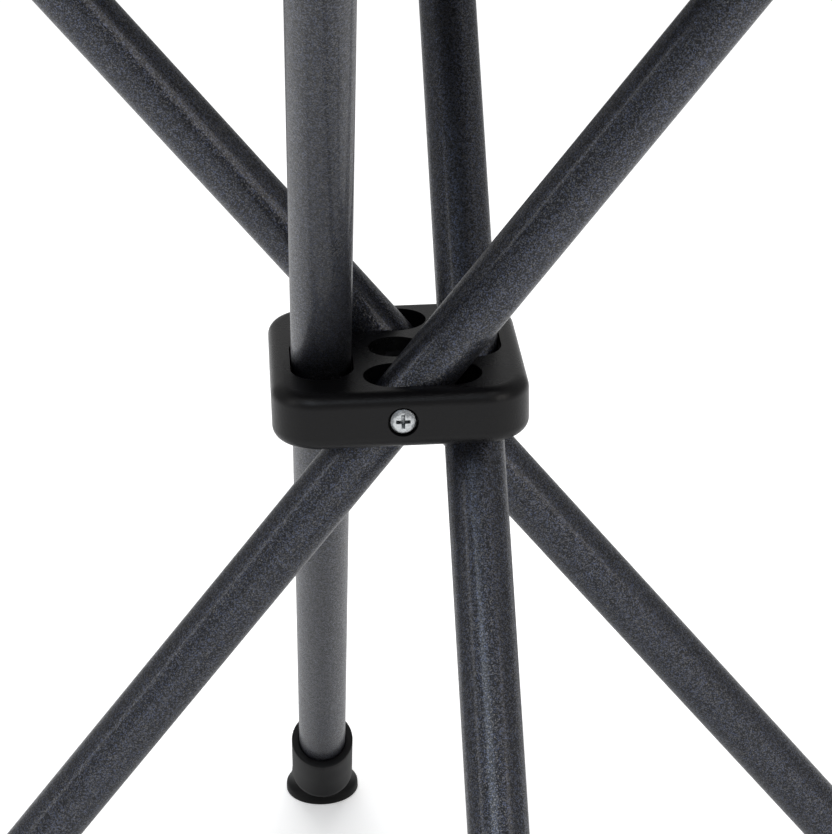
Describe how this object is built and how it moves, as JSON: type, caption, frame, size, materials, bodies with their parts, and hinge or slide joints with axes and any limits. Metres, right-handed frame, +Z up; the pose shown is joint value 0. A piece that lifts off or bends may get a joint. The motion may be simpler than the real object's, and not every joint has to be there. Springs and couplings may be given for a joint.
{
  "type": "folding stool",
  "caption": "Folding camp stool: straight tube legs pinned through a square hub in a pinwheel, rubber feet, cloth seat slung from the tube tops.",
  "frame": {"origin": "on the floor, on the centre line of the hub", "axes": "+Z up; the front leg turns in a plane parallel to XZ on the -Y side and its top leans towards +X"},
  "size_m": [0.4124, 0.4124, 0.4742],
  "materials": {
    "hub_plastic": "satin black moulding",
    "zinc": "bright zinc plate",
    "black_oxide": "black oxide steel",
    "bush_plastic": "natural acetal",
    "powder_coat": "anthracite powder coat with fine metal flake",
    "foot_rubber": "moulded matt rubber",
    "cap_plastic": "black moulding",
    "seat_cloth": "coated coarse polyester weave"
  },
  "bodies": {
    "hub": {"hub_block": "hub_plastic", "pivot_screw_front": "zinc", "pivot_screw_right": "zinc", "pivot_screw_back": "zinc", "pivot_screw_left": "zinc", "pivot_nut_front": "black_oxide", "pivot_nut_right": "black_oxide", "pivot_nut_back": "black_oxide", "pivot_nut_left": "black_oxide"},
    "leg_front": {"leg_tube_front": "powder_coat", "pivot_bush_front": "bush_plastic", "foot_front": "foot_rubber", "top_cap_front": "cap_plastic", "seat_pocket_front": "seat_cloth"},
    "seat_front": {"seat_quarter_front": "seat_cloth"},
    "leg_right": {"leg_tube_right": "powder_coat", "pivot_bush_right": "bush_plastic", "foot_right": "foot_rubber", "top_cap_right": "cap_plastic", "seat_pocket_right": "seat_cloth"},
    "seat_right": {"seat_quarter_right": "seat_cloth"},
    "leg_back": {"leg_tube_back": "powder_coat", "pivot_bush_back": "bush_plastic", "foot_back": "foot_rubber", "top_cap_back": "cap_plastic", "seat_pocket_back": "seat_cloth"},
    "seat_back": {"seat_quarter_back": "seat_cloth"},
    "leg_left": {"leg_tube_left": "powder_coat", "pivot_bush_left": "bush_plastic", "foot_left": "foot_rubber", "top_cap_left": "cap_plastic", "seat_pocket_left": "seat_cloth"},
    "seat_left": {"seat_quarter_left": "seat_cloth"}
  },
  "joints": [
    {"name": "leg_front_fold", "type": "hinge", "parent": "hub", "child": "leg_front", "pos_m": [0, -0.02, 0.24], "axis": [0, -1, 0], "range_deg": [0, 38.9]},
    {"name": "leg_right_fold", "type": "hinge", "parent": "hub", "child": "leg_right", "pos_m": [0.02, 0, 0.24], "axis": [1, 0, 0], "range_deg": [0, 38.9]},
    {"name": "leg_back_fold", "type": "hinge", "parent": "hub", "child": "leg_back", "pos_m": [0, 0.02, 0.24], "axis": [0, 1, 0], "range_deg": [0, 38.9]},
    {"name": "leg_left_fold", "type": "hinge", "parent": "hub", "child": "leg_left", "pos_m": [-0.02, 0, 0.24], "axis": [-1, 0, 0], "range_deg": [0, 38.9]},
    {"name": "seat_front_drape", "type": "hinge", "parent": "leg_front", "child": "seat_front", "pos_m": [0.16067, -0.01829, 0.45581], "axis": [-0.1131, -0.9936, 0], "range_deg": [0, 46.1], "deforming": ["seat_quarter_front"]},
    {"name": "seat_right_drape", "type": "hinge", "parent": "leg_right", "child": "seat_right", "pos_m": [0.01829, 0.16067, 0.45581], "axis": [0.9936, -0.1131, 0], "range_deg": [0, 46.1], "deforming": ["seat_quarter_right"]},
    {"name": "seat_back_drape", "type": "hinge", "parent": "leg_back", "child": "seat_back", "pos_m": [-0.16067, 0.01829, 0.45581], "axis": [0.1131, 0.9936, 0], "range_deg": [0, 46.1], "deforming": ["seat_quarter_back"]},
    {"name": "seat_left_drape", "type": "hinge", "parent": "leg_left", "child": "seat_left", "pos_m": [-0.01829, -0.16067, 0.45581], "axis": [-0.9936, 0.1131, 0], "range_deg": [0, 46.1], "deforming": ["seat_quarter_left"]}
  ],
  "couplings": [
    {"joint": "leg_right_fold", "follows": "leg_front_fold", "ratio": 1},
    {"joint": "leg_back_fold", "follows": "leg_front_fold", "ratio": 1},
    {"joint": "leg_left_fold", "follows": "leg_front_fold", "ratio": 1},
    {"joint": "seat_front_drape", "follows": "leg_front_fold", "ratio": 1.1851},
    {"joint": "seat_right_drape", "follows": "leg_front_fold", "ratio": 1.1851},
    {"joint": "seat_back_drape", "follows": "leg_front_fold", "ratio": 1.1851},
    {"joint": "seat_left_drape", "follows": "leg_front_fold", "ratio": 1.1851}
  ]
}
